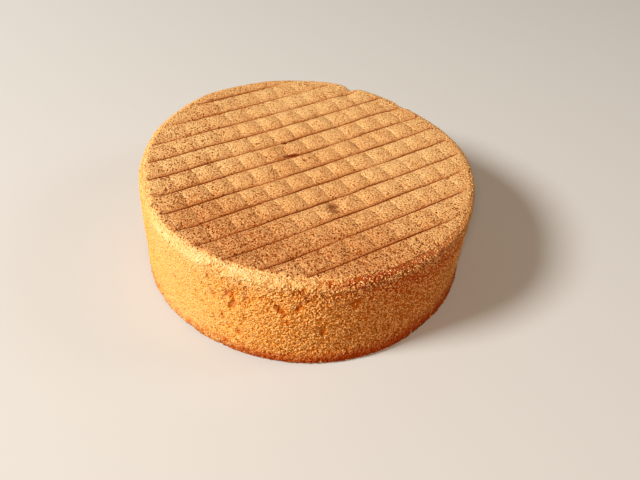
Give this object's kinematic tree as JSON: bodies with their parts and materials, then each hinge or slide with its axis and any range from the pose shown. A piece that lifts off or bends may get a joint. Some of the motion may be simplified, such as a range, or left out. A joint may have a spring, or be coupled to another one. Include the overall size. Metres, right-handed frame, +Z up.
{
  "type": "sponge cake",
  "caption": "Whole round sponge cake, uncut and undecorated, with a flat base, a rounded rim and the crossed groove print of a cooling rack over its crust.",
  "frame": {"origin": "centre of the flat base, on the surface that the cake stands on", "axes": "+Z up through the crust; +X and +Y level, with the deeper grooves of the print 33 degrees from +X"},
  "size_m": [0.2338, 0.2338, 0.0706],
  "materials": {
    "baked_sponge": "matte"
  },
  "bodies": {
    "root": {"sponge_cake": "baked_sponge"}
  },
  "joints": []
}
